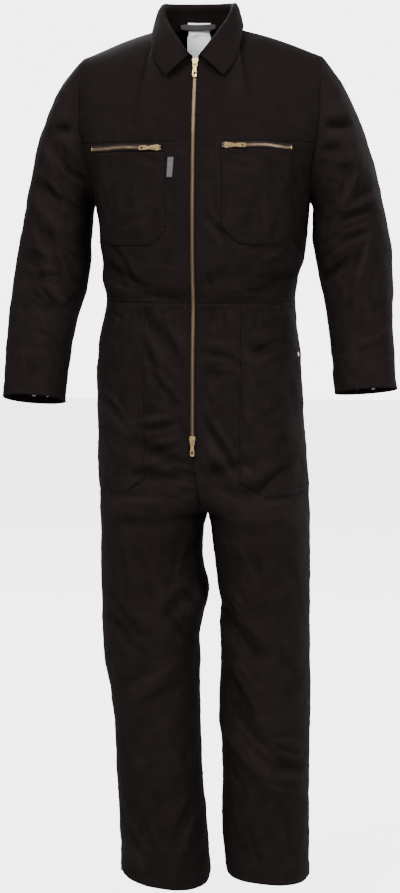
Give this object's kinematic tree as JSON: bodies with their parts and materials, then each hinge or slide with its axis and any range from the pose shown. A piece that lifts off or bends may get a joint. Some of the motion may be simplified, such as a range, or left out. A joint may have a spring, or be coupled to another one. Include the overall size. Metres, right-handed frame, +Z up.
{
  "type": "boiler suit",
  "caption": "Long-sleeved boiler suit with a turned-down collar, a full front zip, zipped chest pockets and slanted hip pockets, hollow and filled out as when worn.",
  "frame": {"origin": "between the shoulders, level with the side of the neck, where the wearer's shoulders carry the garment", "axes": "+Z up along the wearer's height, -Y to the front, +X to the wearer's left"},
  "size_m": [0.7236, 0.2925, 1.6337],
  "materials": {
    "black_twill": "matt heavy twill, almost black",
    "brass": "polished, slightly worn",
    "grey_tape": "woven tape",
    "white_label": "bare satin tape"
  },
  "bodies": {
    "garment": {"back": "black_twill", "front_left": "black_twill", "front_right": "black_twill", "yoke_left": "black_twill", "yoke_right": "black_twill", "sleeve_left": "black_twill", "sleeve_right": "black_twill", "collar": "black_twill", "trouser_front_left": "black_twill", "trouser_front_right": "black_twill", "trouser_back_left": "black_twill", "trouser_back_right": "black_twill", "chest_pocket_left": "black_twill", "chest_pocket_right": "black_twill", "hip_pocket_left": "black_twill", "hip_pocket_right": "black_twill", "main_zip": "brass", "chest_zip_left": "brass", "chest_zip_right": "brass", "slider_top": "brass", "slider_bottom": "brass", "slider_chest_left": "brass", "slider_chest_right": "brass", "neck_label": "white_label", "hanger_loop": "grey_tape", "chest_tag": "grey_tape"},
    "pull_top_body": {"pull_top": "brass"},
    "pull_bottom_body": {"pull_bottom": "brass"},
    "pull_chest_left_body": {"pull_chest_left": "brass"},
    "pull_chest_right_body": {"pull_chest_right": "brass"}
  },
  "joints": [
    {"name": "pull_top_hinge", "type": "hinge", "parent": "garment", "child": "pull_top_body", "pos_m": [0, -0.11184, -0.067], "axis": [-1, 0, 0], "range_deg": [0, 150]},
    {"name": "pull_bottom_hinge", "type": "hinge", "parent": "garment", "child": "pull_bottom_body", "pos_m": [0, -0.15264, -0.73474], "axis": [-1, 0, 0], "range_deg": [0, 150]},
    {"name": "pull_chest_left_hinge", "type": "hinge", "parent": "garment", "child": "pull_chest_left_body", "pos_m": [0.06523, -0.1437, -0.2118], "axis": [0, 0, -1], "range_deg": [0, 150]},
    {"name": "pull_chest_right_hinge", "type": "hinge", "parent": "garment", "child": "pull_chest_right_body", "pos_m": [-0.0687, -0.14377, -0.216], "axis": [0, 0, 1], "range_deg": [0, 150]}
  ]
}
